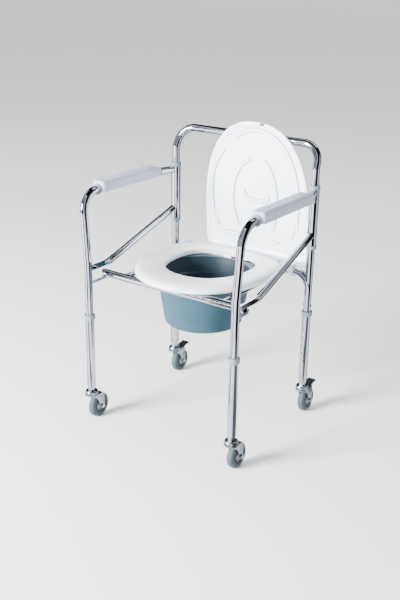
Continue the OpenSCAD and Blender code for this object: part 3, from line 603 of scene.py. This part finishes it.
def buildArmPad(v, side):
    body = "right_side" if side > 0 else "left_side"
    name = body.split("_")[0]
    bm = bmesh.new()
    foot = v["footHeight"]
    tall, middleY = v["height"] - foot, v["front"] + v["length"] / 2
    bmesh.ops.create_cube(bm, size=1)
    bmesh.ops.scale(bm, vec=Vector((v["width"], v["length"], tall)) * mm, verts=bm.verts)
    bmesh.ops.translate(bm, vec=Vector((0, middleY, v["low"] + foot + tall / 2)) * mm, verts=bm.verts)
    low = min(w.co.z for w in bm.verts)
    upper = [e for e in bm.edges if not all(abs(w.co.z - low) < 1e-6 for w in e.verts)]
    bevelEdges(bm, upper, v["corner"], 7)
    lower = [e for e in bm.edges if all(abs(w.co.z - low) < 1e-6 for w in e.verts)]
    bevelEdges(bm, lower, v["skinCorner"], 3)
    bmesh.ops.bisect_plane(bm, geom=bm.verts[:] + bm.edges[:] + bm.faces[:],
                           plane_co=(0, 0, low + v["partingZ"] * mm), plane_no=(0, 0, 1))
    for share in v["loops"]:                            # near the rear end, so that it can fall in a curve
        bmesh.ops.bisect_plane(bm, geom=bm.verts[:] + bm.edges[:] + bm.faces[:],
                               plane_co=(0, (v["front"] + v["length"] * (1 - share / 2)) * mm, 0),
                               plane_no=(0, 1, 0))
    for vert in bm.verts:                               # draws the sides in and lets the rear end fall
        high = (vert.co.z - low) / (tall * mm)
        vert.co.x *= 1 - v["drawIn"] * high
        back = max(0.0, 1 - ((v["front"] + v["length"]) * mm - vert.co.y) / (v["rearRun"] * mm))
        vert.co.z -= high * v["rearDrop"] * mm * back * back
    addBlock(bm, (v["footWidth"], v["length"] - v["footShort"], foot + v["footRise"]),
             (0, middleY, v["low"] + foot / 2 + v["footRise"] / 2), v["footCorner"], 3)
    bmesh.ops.translate(bm, vec=Vector((side * v["x"], 0, 0)) * mm, verts=bm.verts)
    pad = finishPiece(bm, name + "_pad_skin", "padSkin", body, [name + "_arm_pad"])

    # grommet where the tube goes into the front of the pad
    bm = bmesh.new()
    half, corner = v["grommetHalf"], v["grommetCorner"]
    profile = [(v["tubeR"], -half), (v["grommetR"] - corner, -half), (v["grommetR"], corner - half),
               (v["grommetR"], half - corner), (v["grommetR"] - corner, half), (v["tubeR"], half)]
    verts = [bm.verts.new(Vector((r, 0, z)) * mm) for r, z in profile]
    edges = [bm.edges.new((a, b)) for a, b in zip(verts, verts[1:] + verts[:1])]
    bmesh.ops.spin(bm, geom=verts + edges, cent=(0, 0, 0), axis=(0, 0, 1), angle=2 * pi, steps=40,
                   use_merge=True)
    where, _ = placeOn(imagePoints["byRay"][name + "_pad_grommet"],
                       [pad, frame["nodes"][name + "_side_tube"]])
    nearest, farthest = [(v["front"] + reach) * mm for reach in v["mouth"]]
    y = max(nearest, min(farthest, where.y))            # it keeps to the pad's mouth
    at = Vector((side * v["x"] * mm, y, v["tubeZ"] * mm))
    turn = Matrix.Translation(at) @ Matrix.Rotation(radians(90 - v["tilt"]), 4, "X")
    bmesh.ops.transform(bm, matrix=turn, verts=bm.verts)
    finishPiece(bm, name + "_pad_grommet", "greyPlastic", body)


for side in (-1, 1):
    buildArmPad(armPad, side)
print("arm pads made")

# A thin dark oval at the lid's thumb notch, on the side that the sitter sees: painted shadow, a dark disc
# where the notch lies in shade
notchShadowDisc = {"radius": 7.5, "tall": 0.5, "thick": 1.8, "sunk": 0.7, "edge": 0.4}


def buildNotchShadowDisc(v):
    where, _ = placeOn(imagePoints["byRay"]["lid_thumb_plug"], [lidPiece])
    normal = Matrix.Rotation(radians(-lid["open"]), 3, "X") @ Vector((0, 0, -1))
    bm = bmesh.new()
    bmesh.ops.create_cone(bm, cap_ends=True, segments=40, radius1=v["radius"] * mm, radius2=v["radius"] * mm,
                          depth=v["thick"] * mm)
    rim = [e for e in bm.edges if abs(e.verts[0].co.z - e.verts[1].co.z) < 1e-7]
    bevelEdges(bm, rim, v["edge"], 3)
    bmesh.ops.scale(bm, vec=(1, v["tall"], 1), verts=bm.verts)
    turn = normal.to_track_quat("Z", "Y").to_matrix().to_4x4()
    at = where + normal * (v["thick"] / 2 - v["sunk"]) * mm
    bmesh.ops.transform(bm, matrix=Matrix.Translation(at) @ turn, verts=bm.verts)
    # the tread rubber's dark colour here is the notch's painted shadow
    finishPiece(bm, "lid_thumb_plug", "treadRubber", "lid")


buildNotchShadowDisc(notchShadowDisc)

# A dark ring on each side of every wheel, between its hub and its tread
wheelDarkRing = {"inner": 17.4, "outer": 22.8, "thick": 1.8, "out": 10.5, "edge": 0.4}


def buildWheelDarkRings(v, leg):
    low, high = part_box(leg + "_tread")
    middle = (Vector(low) + Vector(high)) / 2
    bm = bmesh.new()
    for side in (-1, 1):
        near, far = (v["out"] - v["thick"]) * mm, v["out"] * mm
        section = [(v["inner"] * mm, near), (v["outer"] * mm, near), (v["outer"] * mm, far - v["edge"] * mm),
                   ((v["outer"] - v["edge"]) * mm, far), ((v["inner"] + v["edge"]) * mm, far),
                   (v["inner"] * mm, far - v["edge"] * mm)]
        verts = [bm.verts.new((side * x, r, 0)) for r, x in section]
        edges = [bm.edges.new((a, b)) for a, b in zip(verts, verts[1:] + verts[:1])]
        bmesh.ops.spin(bm, geom=verts + edges, cent=(0, 0, 0), axis=(1, 0, 0), angle=2 * pi, steps=64,
                       use_merge=True)
    bmesh.ops.translate(bm, vec=middle, verts=bm.verts)
    finishPiece(bm, leg + "_wheel_seals", "bufferRubber", leg + "_wheel")


for leg in ("front_left", "front_right", "rear_left", "rear_right"):
    buildWheelDarkRings(wheelDarkRing, leg)
print("small fittings made")

# Stage, in metres: the floor, the sky's light and the lamps
stageValues = {"floorSize": 40, "floorTint": "#FAFAFB", "worldTint": "#FAFBFD", "worldStrength": 1.05}
lamps = {
    "key": {"place": (-1.5, -3.5, 1.5), "aim": (0, 0, 0.5), "size": (1.5, 1.5), "power": 960},
    "top": {"place": (0.4, 0.2, 3.4), "aim": (0, 0, 0.4), "size": (3, 3), "power": 40},
}


def makeStage(v):
    bm = bmesh.new()
    bmesh.ops.create_grid(bm, x_segments=1, y_segments=1, size=v["floorSize"] / 2)
    mesh = bpy.data.meshes.new("floor")
    bm.to_mesh(mesh)
    bm.free()
    floor = bpy.data.objects.new("floor", mesh)
    bpy.context.scene.collection.objects.link(floor)
    material, _, shader, _ = newMaterial("paintedStudioFloor")
    shader.inputs["Base Color"].default_value = colour(v["floorTint"])
    shader.inputs["Roughness"].default_value = 0.9
    floor.data.materials.append(material)

    world = bpy.data.worlds.new("studio")
    bpy.context.scene.world = world
    world.use_nodes = True
    background = world.node_tree.nodes["Background"]
    background.inputs["Color"].default_value = colour(v["worldTint"])
    background.inputs["Strength"].default_value = v["worldStrength"]


def makeLight(name, v):
    data = bpy.data.lights.new(name, "AREA")
    data.shape = "RECTANGLE"
    data.size, data.size_y = v["size"]
    data.energy = v["power"]
    light = bpy.data.objects.new(name, data)
    bpy.context.scene.collection.objects.link(light)
    light.location = v["place"]
    light.rotation_euler = (Vector(v["aim"]) - Vector(v["place"])).to_track_quat("-Z", "Y").to_euler()


# Black cards and grey floor strips that only reflections see: they put the dark bands into the chrome.
cards = {
    # turn from the camera's side in degrees, width in degrees, distance, lowest point, height
    "cards": [(38, 62, 1.15, 0.0, 2.4), (-48, 30, 1.2, 0.0, 2.2), (108, 22, 1.2, 0.0, 2.0),
              (158, 42, 1.2, 0.0, 2.6), (-154, 44, 1.2, 0.0, 2.6), (-98, 14, 1.3, 0.0, 1.8),
              # raised, for the sloping and the level tubes
              (84, 50, 1.35, 1.5, 1.7), (-84, 16, 1.35, 0.9, 0.5)],
    "roof": (2.4, 1.3, 0.0, -0.15, 2.3),     # width, depth and place of the card overhead
    # turn and width in degrees, nearest and farthest, of the strips on the floor
    "strips": [(38, 50, 0.42, 1.3), (-46, 20, 0.42, 1.3), (108, 20, 0.45, 1.3), (158, 40, 0.45, 1.3),
               (-154, 42, 0.45, 1.3), (-98, 14, 0.45, 1.3)],
    "stripZ": 0.003, "stripTint": "#54585C", "cardColour": (0.004, 0.004, 0.005, 1),
}


def cardMaterial(name, tint):
    material, _, shader, _ = newMaterial(name)
    shader.inputs["Base Color"].default_value = tint
    shader.inputs["Roughness"].default_value = 1.0
    shader.inputs["Specular IOR Level"].default_value = 0.0
    return material


def placeCard(bm, name, material):
    mesh = bpy.data.meshes.new(name)
    bm.to_mesh(mesh)
    bm.free()
    card = bpy.data.objects.new(name, mesh)
    bpy.context.scene.collection.objects.link(card)
    card.data.materials.append(material)
    for ray in ("camera", "diffuse", "transmission", "shadow", "volume_scatter"):
        setattr(card, "visible_" + ray, False)


def makeCards(v):
    black = cardMaterial("blackStudioCard", v["cardColour"])
    start = atan2(camera["place"][1], camera["place"][0])
    for i, (turn, wide, distance, low, height) in enumerate(v["cards"]):
        bm = bmesh.new()
        bmesh.ops.create_grid(bm, x_segments=1, y_segments=1, size=0.5)
        width = 2 * distance * sin(radians(wide / 2))
        bmesh.ops.scale(bm, vec=(width, height, 1), verts=bm.verts)
        bmesh.ops.rotate(bm, matrix=Matrix.Rotation(radians(90), 3, "X"), cent=(0, 0, 0), verts=bm.verts)
        angle = start + radians(turn)
        bmesh.ops.rotate(bm, matrix=Matrix.Rotation(angle - pi / 2, 3, "Z"), cent=(0, 0, 0), verts=bm.verts)
        bmesh.ops.translate(bm, vec=(distance * cos(angle), distance * sin(angle), low + height / 2),
                            verts=bm.verts)
        placeCard(bm, "black_card_%d" % i, black)
    grey = cardMaterial("greyStudioCard", colour(v["stripTint"]))
    for i, (turn, wide, near, far) in enumerate(v["strips"]):
        bm = bmesh.new()
        corners = [(near, -wide / 2), (far, -wide / 2), (far, wide / 2), (near, wide / 2)]
        verts = [bm.verts.new((r * cos(radians(a)), r * sin(radians(a)), v["stripZ"])) for r, a in corners]
        bm.faces.new(verts)
        bmesh.ops.rotate(bm, matrix=Matrix.Rotation(start + radians(turn), 3, "Z"), cent=(0, 0, 0),
                         verts=bm.verts)
        placeCard(bm, "grey_strip_%d" % i, grey)
    width, depth, x, y, z = v["roof"]
    bm = bmesh.new()
    bmesh.ops.create_grid(bm, x_segments=1, y_segments=1, size=0.5)
    bmesh.ops.scale(bm, vec=(width, depth, 1), verts=bm.verts)
    bmesh.ops.translate(bm, vec=(x, y, z), verts=bm.verts)
    placeCard(bm, "black_card_roof", black)


makeStage(stageValues)
for name, values in lamps.items():
    makeLight(name, values)
makeCards(cards)
print("stage set")


def onPicture(place):
    # where a place shows in the picture, in pixels
    local = cameraObject.matrix_world.inverted() @ place
    size = max(imageFrame["width"], imageFrame["height"])
    scale = -size * camera["lens"] / camera["sensorWidth"] / local.z
    return (local.x * scale + imageFrame["width"] / 2 - camera["shift"][0] * size,
            imageFrame["height"] / 2 - local.y * scale + camera["shift"][1] * size)


def measurePoints():
    # how far each thing shows from its image point, in pixels
    graph = bpy.context.evaluated_depsgraph_get()
    corners, faces, owned = [], [], {}
    replacedNodes = ("seat_ring", "lid", "left_arm_pad", "right_arm_pad")
    notPieces = ("floor", "black_", "grey_strip")
    for piece in bpy.context.scene.objects:
        if piece.type != "MESH" or piece.name.startswith(notPieces) or piece.name in replacedNodes:
            continue
        mesh = piece.evaluated_get(graph).to_mesh()
        start = len(corners)
        corners += [piece.matrix_world @ w.co for w in mesh.vertices]
        faces += [[start + i for i in face.vertices] for face in mesh.polygons]
        owned[piece.name] = range(start, len(corners))
        piece.evaluated_get(graph).to_mesh_clear()
    tree = BVHTree.FromPolygons(corners, faces)
    eye = Vector(camera["place"])

    def shown(place):
        away = (place - eye).length
        where, _, _, reach = tree.ray_cast(eye, (place - eye).normalized())
        return where is None or reach > away - rays["hiddenBy"]

    spots = [onPicture(c) for c in corners]
    across = sorted(range(len(spots)), key=lambda i: spots[i][0])
    down = sorted(range(len(spots)), key=lambda i: spots[i][1])
    firsts = {"left": (across, 0), "right": (across[::-1], 0), "top": (down, 1), "bottom": (down[::-1], 1)}
    offBy = {}
    for name, want in imagePoints["edges"].items():
        order, axis = firsts[name]
        found = next(i for i in order if shown(corners[i]))
        offBy[name] = round(spots[found][axis] - want, 2)
    for name, want in list(imagePoints["pieces"].items()) + list(imagePoints["byRay"].items()):
        seen = [spots[i] for i in owned[name] if shown(corners[i])]
        middle = [(min(q[k] for q in seen) + max(q[k] for q in seen)) / 2 for k in (0, 1)] if seen else None
        offBy[name] = [round(middle[k] - want[k], 2) for k in (0, 1)] if seen else "hidden"
    return offBy


offBy = measurePoints()
print("image points measured:", offBy)
